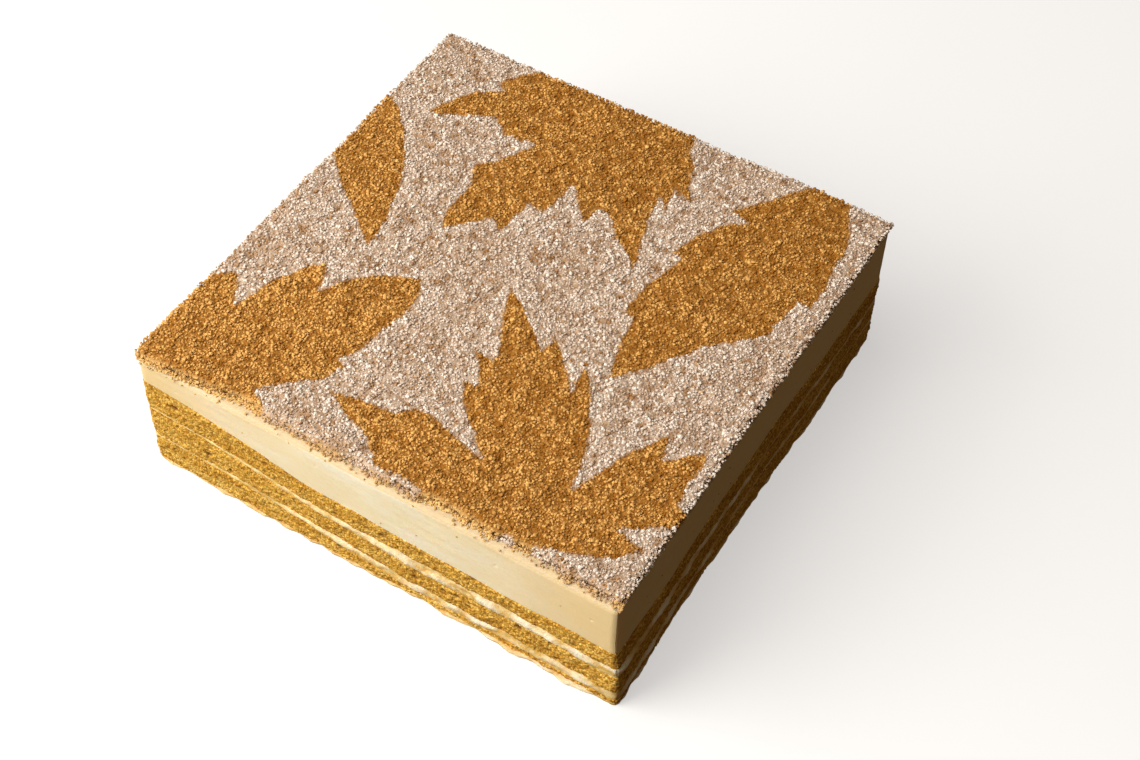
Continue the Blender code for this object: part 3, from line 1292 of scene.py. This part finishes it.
@dataclass
class CrumbBed:
    """The bed of crumbs: a core painted dark as the shade in the gaps between the grains, and grains heaped
    over it, white with sugar between the leaves.
    """

    form: CakeForm
    dusting: Dusting
    seed: int = 41
    spacing: float = 1.02 * MM
    jitter: float = 0.42
    overhang: float = 0.2 * MM
    fallen_share: float = 0.03
    thin_front: tuple[float, float] = (-2.4 * MM, 1.0 * MM)
    sunk: float = 0.8 * MM
    slope: float = 3 * MM
    rim_slope: float = 2.5 * MM
    drift: float = 0.4 * MM
    drift_length: float = 22 * MM
    small_drift: float = 0.25 * MM
    small_drift_length: float = 7 * MM
    bare: float = 2.9 * MM
    bare_from: float = -92 * MM
    bare_to: float = -55 * MM
    clump_size: float = 2.1 * MM
    clump_height: float = 0.34 * MM
    soaked: float = 0.9
    soaked_edge: tuple[float, float] = (0.2 * MM, 3.0 * MM)
    wall_grains: float = 3.2
    wall_rise: float = 0.3 * MM
    wall_spread: float = 1.9
    core_cells: int = 190
    core_rows: int = 3
    core_rough: float = 0.3 * MM
    core_rough_length: float = 1.6 * MM
    core_mottle: float = 1.3 * MM
    core_inset: float = 1.0 * MM
    core_pull: float = 0.3 * MM
    core_reach: float = 16 * MM
    spill: float = 1.7 * MM
    spill_reach: float = 14 * MM
    spill_height: float = 1.5 * MM
    kinds: tuple[GrainKind, ...] = (
        GrainKind("crumbs_dust", 0.41, (0.38 * MM, 0.52 * MM), Cut.EIGHT_SIDED),
        GrainKind("crumbs_fine", 0.20, (0.42 * MM, 0.56 * MM), Cut.TWENTY_SIDED),
        GrainKind("crumbs_middling", 0.20, (0.50 * MM, 0.63 * MM), Cut.TWENTY_SIDED),
        GrainKind("crumbs_large", 0.14, (0.58 * MM, 0.72 * MM), Cut.TWENTY_SIDED),
        GrainKind("crumbs_coarse", 0.05, (0.68 * MM, 0.86 * MM), Cut.BLOCKY),
    )

    def depth(self, x: Array, y: Array) -> Array:
        """How thick the bed is. It thins towards its rim, most of all along the front.

        Args:
            x: Places across.
            y: Places towards the back.

        Returns:
            One thickness for each point.
        """
        places = flat_places(x, y)
        front = smooth_step(self.behind_front(x, y), 0.0, self.slope)
        others = [side for side in Side if side is not Side.FRONT]
        inset = np.min([side.inset(x, y, self.form.half) for side in others], axis=0)
        rim = 0.85 + 0.15 * smooth_step(inset, 0.0, self.rim_slope)
        drift = self.drift * ripple(places, self.drift_length, Key.DRIFT)
        drift = drift + self.small_drift * ripple(places, self.small_drift_length, Key.SMALL_DRIFT)
        return (self.form.crumb_depth - self.sunk) * (0.1 + 0.9 * front) * rim + drift * front

    def bare_rim(self, x: Array, y: Array) -> Array:
        """How wide a strip of the slab shows in front of the crumbs. There is none near the swollen corner.

        Args:
            x: Places across.
            y: Places towards the back.

        Returns:
            One width for each point.
        """
        places = np.column_stack((x, np.zeros_like(x), np.zeros_like(x)))
        broad = ripple(places, 14 * MM, Key.BARE_RIM)
        width = self.bare * (1 + 0.45 * broad + 0.3 * ripple(places, 4 * MM, Key.SMALL_BARE_RIM))
        return width * smooth_step(x, self.bare_from, self.bare_to)

    def behind_front(self, x: Array, y: Array) -> Array:
        """How far each point lies behind the bed's front edge. It is below 0 in front of it."""
        return Side.FRONT.inset(x, y, self.form.half) - self.bare_rim(x, y)

    def heaped(self, x: Array, y: Array) -> Array:
        """How much higher each point lies because the crumbs are heaped up."""
        return self.clump_height * self.clump(x, y) * smooth_step(self.behind_front(x, y), 0.0, self.slope)

    def core(self) -> bpy.types.Object:
        """Makes the bed under the grains.

        Returns:
            The piece.
        """
        mesh = bmesh.new()
        half = self.form.half
        bmesh.ops.create_grid(mesh, x_segments=self.core_cells, y_segments=self.core_cells, size=half)
        bmesh.ops.translate(mesh, verts=mesh.verts[:], vec=(0, 0, 1))
        rim = [edge for edge in mesh.edges if edge.is_boundary]
        for _ in range(self.core_rows):
            pulled = bmesh.ops.extrude_edge_only(mesh, edges=rim)["geom"]
            rim = [part for part in pulled if isinstance(part, bmesh.types.BMEdge) and part.is_boundary]
            lower = [part for part in pulled if isinstance(part, bmesh.types.BMVert)]
            bmesh.ops.translate(mesh, verts=lower, vec=(0, 0, -1 / self.core_rows))
        bmesh.ops.holes_fill(mesh, edges=rim, sides=0)
        bmesh.ops.recalc_face_normals(mesh, faces=mesh.faces[:])
        start = np.array([vertex.co for vertex in mesh.verts], float)
        x, y, share = start.T
        upper = share > 0.9
        away = self.form.outward(x, y)
        push = self.form.knife(x, y) - self.core_inset
        near_front = np.clip(1 - (y + half) / self.core_reach, 0.0, 1.0)
        y = y + away[:, 1] * push + (self.bare_rim(x, y) + self.core_pull) * near_front
        x = x + away[:, 0] * push
        rough = self.core_rough * ripple(flat_places(x, y), self.core_rough_length, Key.ROUGH)
        z = self.form.slab_top(x, y) + self.depth(x, y) * share + (rough + self.heaped(x, y)) * upper
        points = self.spilled(np.column_stack((x, y, z)))
        x, y, _ = points.T
        place_points(mesh, points)
        bmesh.ops.triangulate(mesh, faces=mesh.faces[:])
        data = bpy.data.meshes.new("crumb_bed")
        mesh.to_mesh(data)
        mesh.free()
        data.shade_smooth()
        values = {
            # The core is painted dark, as shade in the gaps between the grains.
            "tone": 0.12 + 0.25 * (ripple(points, self.core_mottle, Key.DARK) > 0.2),
            "soak": self.soak(x, y),
            "sugar": self.dusting.cover(x, y, self.form) * 0.45 * upper,
        }
        add_values(data, values)
        finish = CrumbFinish("crumb_bed", mottle=1.0 * MM, relief=0.6 * MM)
        return add_piece("crumb_bed", data, finish.material(), "crumb", ["crumb_topping"])

    def spilled(self, points: Array) -> Array:
        """Moves the rim outward at the left side and at the back, where the bed leans over the slab.

        Args:
            points: Places in the bed.

        Returns:
            The moved places.
        """
        x, y, z = points.T
        inner = self.form.half - self.spill_reach
        high = smooth_step(z - self.form.slab_top(x, y), 0.0, self.spill_height)
        spill = self.spill * (0.25 + 0.75 * high)
        left = spill * smooth_step(-x, inner, self.form.half)
        back = spill * smooth_step(y, inner, self.form.half)
        return np.column_stack((x - left, y + back, z))

    def clump(self, x: Array, y: Array) -> Array:
        """Where the crumbs stick together in heaps.

        Args:
            x: Places across.
            y: Places towards the back.

        Returns:
            One number for each point: above 0 on the heaps, and below 0 in the gaps between.
        """
        places = flat_places(x, y)
        broad = ripple(places, 2 * self.clump_size, Key.BROAD_CLUMP)
        return 0.75 * ripple(places, self.clump_size, Key.CLUMP) + 0.5 * broad

    def soak(self, x: Array, y: Array) -> Array:
        """How soaked with cream the crumbs are, from 0 to 1."""
        return self.soaked * (1 - smooth_step(self.behind_front(x, y), *self.soaked_edge))

    def scatter(self) -> tuple[Array, Array]:
        """Picks where the grains lie.

        Returns:
            The places of their middles, and a draw from 0 to 1 for the size of each.
        """
        draw = np.random.default_rng(self.seed)
        half = self.form.half
        row_gap = self.spacing * math.sqrt(3) / 2
        rows = np.arange(-half, half, row_gap)
        columns = np.arange(-half, half, self.spacing)
        x, y = np.meshgrid(columns, rows)
        x = x + (np.arange(len(rows)) % 2 * self.spacing / 2)[:, None]
        x, y = x.ravel(), y.ravel()
        x = x + draw.uniform(-self.jitter, self.jitter, len(x)) * self.spacing
        y = y + draw.uniform(-self.jitter, self.jitter, len(x)) * self.spacing
        size = draw.uniform(0, 1, len(x))
        lift = draw.uniform(-0.2, 0.42, len(x)) * MM
        dense = smooth_step(self.behind_front(x, y), *self.thin_front)
        thin = draw.uniform(0, 1, len(x)) < self.fallen_share + (1 - self.fallen_share) * dense
        reach = half + self.overhang
        kept = thin & (np.abs(x) < reach) & (np.abs(y) < reach)
        x, y, size, lift = x[kept], y[kept], size[kept], lift[kept]
        ahead = 1 - smooth_step(self.behind_front(x, y), 0.0, 1 * MM)
        fallen = self.form.brow_drop(Side.FRONT.inset(x, y, half)) * ahead
        z = self.form.slab_top(x, y) + self.depth(x, y) + lift + self.heaped(x, y) - fallen
        wall_x, wall_y, wall_z = self.wall(draw)
        x, y, z = np.append(x, wall_x), np.append(y, wall_y), np.append(z, wall_z)
        size = np.append(size, draw.uniform(0, 0.85, len(wall_x)))
        return self.spilled(np.column_stack((x, y, z))), size

    def wall(self, draw: np.random.Generator) -> tuple[Array, Array, Array]:
        """Picks the grains that show at the bed's sides.

        Args:
            draw: Where the random draws come from.

        Returns:
            Their places along X, Y and Z.
        """
        half = self.form.half
        count = int(self.form.side / self.spacing * self.wall_grains)
        xs, ys, zs = [], [], []
        for side in (*Side, Side.FRONT):
            along = draw.uniform(-half, half, count)
            across, towards = side.value
            x = half * across + along * abs(towards)
            y = half * towards + along * abs(across)
            push = self.form.knife(x, y) + draw.uniform(-0.9, 0.1, count) * MM
            if side is Side.FRONT:
                push = self.wall_spread * push - self.bare_rim(x, y)
            height = draw.uniform(0, 1, count) ** (1.3 if side is Side.FRONT else 1.0)
            xs.append(x + across * push)
            ys.append(y + towards * push)
            zs.append(self.form.slab_top(x, y) + (self.depth(x, y) + self.wall_rise) * height)
        return np.concatenate(xs), np.concatenate(ys), np.concatenate(zs)

    def grains(self) -> list[bpy.types.Object]:
        """Makes the grains, one piece for each kind.

        Returns:
            The pieces.
        """
        places, sizes = self.scatter()
        clump = self.clump(places[:, 0], places[:, 1])
        cover = self.dusting.cover(places[:, 0], places[:, 1], self.form)
        cover = cover * (0.36 + 0.64 * smooth_step(clump, -0.75, 0.0))
        draw = np.random.default_rng(self.seed + 1)
        pieces = []
        start = 0.0
        for kind in self.kinds:
            chosen = (sizes >= start) & (sizes < start + kind.share)
            start += kind.share
            soak = self.soak(places[chosen, 0], places[chosen, 1])
            pieces.append(heap(kind, places[chosen], cover[chosen], soak, clump[chosen], draw))
        return pieces


def heap(
    kind: GrainKind, places: Array, cover: Array, soak: Array, clump: Array, draw: np.random.Generator
) -> bpy.types.Object:
    """Makes all the grains of one kind.

    Args:
        kind: The kind.
        places: Where their middles lie.
        cover: How thick the sugar lies on each.
        soak: How soaked with cream each is.
        clump: How high each lies in its clump, which paints it lighter on the heaps and darker in the gaps,
            as painted light and shade.
        draw: Where the random draws come from.

    Returns:
        The piece.
    """
    points, faces = bent_grains(kind, places, draw)
    count, corners = points.shape[:2]
    upright = (points[:, :, 2] - places[:, None, 2]) / kind.radius[1]
    # Darker towards the back right: partly painted light falloff, partly darker baking.
    drift = (places[:, 0] + places[:, 1]) / CakeForm.side
    tone = draw.normal(kind.tone, kind.tone_spread, count) - kind.light_falloff_and_bake_behind * drift
    # Painted light on the clumps and painted shade in the gaps between.
    tone = np.clip(tone + kind.painted_light_on_clumps * clump, 0, 1)
    missed = draw.uniform(0, 1, count) < kind.missed_share
    amount = np.where(missed, kind.missed_cover, draw.uniform(0.7, 1.0, count)) * cover
    raised = smooth_step(upright, -0.4, 0.4)
    sugar = amount[:, None] * (0.45 + 0.55 * raised)
    data = bpy.data.meshes.new(kind.name)
    data.from_pydata(points.reshape(-1, 3), [], faces.reshape(-1, faces.shape[-1]))
    values = {
        # The lower part of each grain gets painted shade.
        "tone": (tone[:, None] - kind.painted_shade_below * (1 - raised)).ravel(),
        "soak": np.repeat(soak * draw.uniform(0.4, 1.0, count), corners),
        "sugar": sugar.ravel(),
    }
    add_values(data, values)
    return add_piece(kind.name, data, CrumbFinish(kind.name).material(), "crumb", ["crumb_topping"])


@dataclass
class StrayCrumbs:
    """Single crumbs that cling to the sides of the slab."""

    form: CakeForm
    seed: int = 77
    each_side: int = 16
    along: float = 0.95
    heights: tuple[float, float] = (0.62, 0.92)
    kind: GrainKind = GrainKind("crumbs_stray", 1.0, (0.28 * MM, 0.42 * MM), Cut.TWENTY_SIDED)
    front: tuple[tuple[float, float], ...] = (
        (-93, 55), (-74, 54), (-64, 56), (-54, 46), (-37, 57), (44, 57), (37, 52), (20, 40), (5, 36),
        (78, 44),
    )

    def build(self) -> bpy.types.Object:
        """Makes them all.

        Returns:
            The piece.
        """
        draw = np.random.default_rng(self.seed)
        half = self.form.half
        spots = [(x * MM, -half, z * MM) for x, z in self.front]
        for side in Side:
            if side is Side.FRONT:
                continue
            across, towards = side.value
            for _ in range(self.each_side):
                along = draw.uniform(-self.along * half, self.along * half)
                height = draw.uniform(*self.heights)
                x, y = half * across + along * abs(towards), half * towards + along * abs(across)
                spots.append((x, y, height * float(self.form.slab_top(x, y))))
        places = np.array(spots)
        away = self.form.outward(places[:, 0], places[:, 1])
        places = places + away * self.form.knife(places[:, 0], places[:, 1])[:, None]
        plain = np.zeros(len(places))
        return heap(self.kind, places, plain, plain, plain, draw)


def bent_grains(kind: GrainKind, places: Array, draw: np.random.Generator) -> tuple[Array, Array]:
    """Bends, stretches and turns a plain grain once for each place.

    Args:
        kind: The grains' kind.
        places: Where their middles lie.
        draw: Where the random draws come from.

    Returns:
        The points and the triangles of every grain.
    """
    ball, triangles = kind.shape()
    count = len(places)
    radius = draw.uniform(*kind.radius, count)
    dents = draw.uniform(*kind.dents, (count, len(ball)))
    stretch = draw.uniform(*kind.stretches, (count, 1, 3))
    turns = draw.normal(size=(count, 4))
    turns /= np.linalg.norm(turns, axis=1)[:, None]
    w, i, j, k = turns.T
    turned = np.empty((count, 3, 3))
    turned[:, 0] = np.column_stack((1 - 2 * (j * j + k * k), 2 * (i * j - k * w), 2 * (i * k + j * w)))
    turned[:, 1] = np.column_stack((2 * (i * j + k * w), 1 - 2 * (i * i + k * k), 2 * (j * k - i * w)))
    turned[:, 2] = np.column_stack((2 * (i * k - j * w), 2 * (j * k + i * w), 1 - 2 * (i * i + j * j)))
    points = ball[None] * dents[:, :, None] * stretch
    points = np.einsum("nab,nvb->nva", turned, points) * radius[:, None, None]
    points[:, :, 2] *= kind.squash
    points = points + places[:, None]
    faces = triangles[None] + (np.arange(count) * len(ball))[:, None, None]
    return points, faces


@dataclass(frozen=True)
class Lamp:
    """A square soft light that faces the cake."""

    name: str
    place: Triple
    width: float
    power: float
    colour: Colour
    aim: Triple = (0.0, 0.0, 30 * MM)

    def hang(self) -> None:
        """Adds the light to the scene."""
        data = bpy.data.lights.new(self.name, "AREA")
        data.shape = "SQUARE"
        data.size = self.width
        data.energy = self.power
        data.color = self.colour
        lamp = bpy.data.objects.new(self.name, data)
        ahead = Vector(self.aim) - Vector(self.place)
        turned = ahead.to_track_quat("-Z", "Y").to_matrix().to_4x4()
        lamp.matrix_world = Matrix.Translation(self.place) @ turned
        bpy.context.scene.collection.objects.link(lamp)


@dataclass(frozen=True)
class Studio:
    """The camera, the floor and the lights: a low key, a soft lamp overhead and a weak glow all round."""

    eye: Triple = (254.9 * MM, -399.7 * MM, 581.8 * MM)
    azimuth: float = 30.40
    elevation: float = 50.375
    roll: float = 1.87
    lens: float = 60.67
    sensor: float = 36.0
    nearest: float = 0.01
    farthest: float = 20.0
    lamps: tuple[Lamp, ...] = (
        Lamp("key", (-0.80, -0.81, 0.63), 1.2, 27.5, (1.0, 0.985, 0.955)),
        Lamp("overhead", (-0.3, -0.3, 1.6), 1.1, 12.5, (1.0, 0.99, 0.98)),
    )
    glow: Colour = (1.0, 0.70, 0.40)
    glow_strength: float = 0.082
    floor_cells: int = 4
    floor_reach: float = 3.0

    def camera(self) -> None:
        """Sets the camera up."""
        turn, tilt, roll = (math.radians(angle) for angle in (self.azimuth, self.elevation, self.roll))
        level = Vector((math.cos(turn), math.sin(turn), 0.0))
        ahead = Vector((-math.sin(turn) * math.cos(tilt), math.cos(turn) * math.cos(tilt), -math.sin(tilt)))
        upward = level.cross(ahead)
        right = level * math.cos(roll) + upward * math.sin(roll)
        up = upward * math.cos(roll) - level * math.sin(roll)
        data = bpy.data.cameras.new("camera")
        data.lens = self.lens
        data.sensor_width = self.sensor
        data.clip_start = self.nearest
        data.clip_end = self.farthest
        camera = bpy.data.objects.new("camera", data)
        turned = Matrix((right, up, -ahead)).transposed().to_4x4()
        camera.matrix_world = Matrix.Translation(self.eye) @ turned
        bpy.context.scene.collection.objects.link(camera)
        bpy.context.scene.camera = camera

    def lights(self) -> None:
        """Hangs the lamps and sets the glow."""
        for lamp in self.lamps:
            lamp.hang()
        world = bpy.data.worlds.new("glow")
        world.use_nodes = True
        background = world.node_tree.nodes["Background"]
        background.inputs["Color"].default_value = (*self.glow, 1.0)
        background.inputs["Strength"].default_value = self.glow_strength
        bpy.context.scene.world = world
        bpy.context.scene.view_settings.view_transform = "Standard"

    def floor(self) -> None:
        """Lays the floor. It sends no light back onto the cake."""
        mesh = bmesh.new()
        cells = self.floor_cells
        bmesh.ops.create_grid(mesh, x_segments=cells, y_segments=cells, size=self.floor_reach)
        data = bpy.data.meshes.new("floor")
        mesh.to_mesh(data)
        mesh.free()
        data.materials.append(FloorFinish().material())
        ground = bpy.data.objects.new("floor", data)
        ground.visible_diffuse = False
        ground.visible_glossy = False
        bpy.context.scene.collection.objects.link(ground)
        ground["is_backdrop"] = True


def write_size() -> None:
    """Works out the box of the solids and the box of the finished cake, and keeps neither."""
    boxes = {"cad": CAD_BOX, "visual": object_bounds()}
    plain = {name: [list(corner) for corner in box] for name, box in boxes.items()}


def main() -> None:
    """Builds the studio and then the cake, from its foot to its crumbs."""
    logging.basicConfig(level=logging.INFO, format="%(message)s")
    studio = Studio()
    studio.camera()
    studio.lights()
    studio.floor()
    form = CakeForm()
    foot_grid = WallGrid(cells=25, rim_cuts=15, wall_cuts=4)
    sponge_grid = WallGrid(cells=25, rim_cuts=15, wall_cuts=22)
    cream_grid = WallGrid(cells=25, rim_cuts=15, wall_cuts=9)
    slab_grid = WallGrid(cells=25, rim_cuts=13, wall_cuts=46)
    BaseSmear("base_cream", form, foot_grid, "filling", key=60.0).build()
    Sponge("sponge_bottom", form, sponge_grid, "sponge", key=11.0).build()
    Filling("filling_lower", form, cream_grid, "filling", key=64.0).build()
    Sponge("sponge_middle", form, sponge_grid, "sponge", key=13.0).build()
    Filling("filling_upper", form, cream_grid, "filling", key=68.0).build()
    Sponge("sponge_top", form, sponge_grid, "sponge", key=15.0).build()
    Slab("cream_slab", form, slab_grid, "set_cream").build()
    bed = CrumbBed(form, Dusting())
    bed.core()
    bed.grains()
    StrayCrumbs(form).build()
    write_size()


if __name__ == "__main__":
    main()
